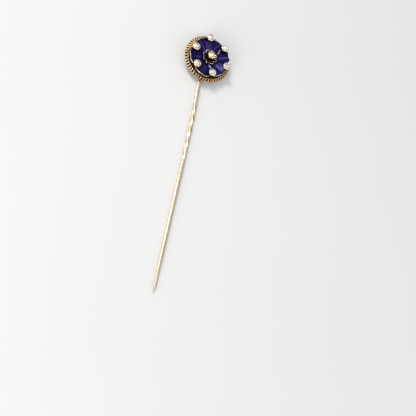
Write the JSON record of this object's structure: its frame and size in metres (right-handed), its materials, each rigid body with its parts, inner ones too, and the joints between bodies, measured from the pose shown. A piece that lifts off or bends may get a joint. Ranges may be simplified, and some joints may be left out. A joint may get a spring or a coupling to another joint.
{
  "type": "stick pin",
  "caption": "Jewelled stick pin: round head with ribbed gold border, lobed blue enamel flower and claw-set clear stones, soldered to a slender gold pin with a twisted section.",
  "frame": {"origin": "centre of the flat rear face of the back plate", "axes": "+Z out of the jewelled face, the stem runs towards -Y, +X to the right seen from the front"},
  "size_m": [0.0144, 0.0796, 0.005],
  "materials": {
    "gold": "polished warm yellow gold, darkened in the recesses",
    "pale_gold": "polished pale yellow gold with fine wear",
    "rim_gold": "worn pale pinkish gold edge",
    "oxidised_gold": "oxidised and darkened, rubbed bright on the tops of the wires",
    "solder": "satin solder",
    "enamel": "deep blue glass enamel over an engraved ground, polished",
    "diamond": "old-cut clear stones, polished facets"
  },
  "bodies": {
    "root": {"pin_stem": "pale_gold", "stem_solder": "solder", "back_plate": "gold", "gallery_collar": "gold", "ribbed_border": "gold", "flower_plate": "rim_gold", "center_post": "gold", "rosette": "oxidised_gold", "center_collet": "gold", "center_diamond": "diamond", "enamel_petal_1": "enamel", "enamel_petal_2": "enamel", "enamel_petal_3": "enamel", "enamel_petal_4": "enamel", "enamel_petal_5": "enamel", "enamel_petal_6": "enamel", "collet_peg_1": "gold", "notch_collet_1": "pale_gold", "notch_diamond_1": "diamond", "collet_peg_2": "gold", "notch_collet_2": "pale_gold", "notch_diamond_2": "diamond", "collet_peg_3": "gold", "notch_collet_3": "pale_gold", "notch_diamond_3": "diamond", "collet_peg_4": "gold", "notch_collet_4": "pale_gold", "notch_diamond_4": "diamond", "collet_peg_5": "gold", "notch_collet_5": "pale_gold", "notch_diamond_5": "diamond", "collet_peg_6": "gold", "notch_collet_6": "pale_gold", "notch_diamond_6": "diamond"}
  },
  "joints": []
}
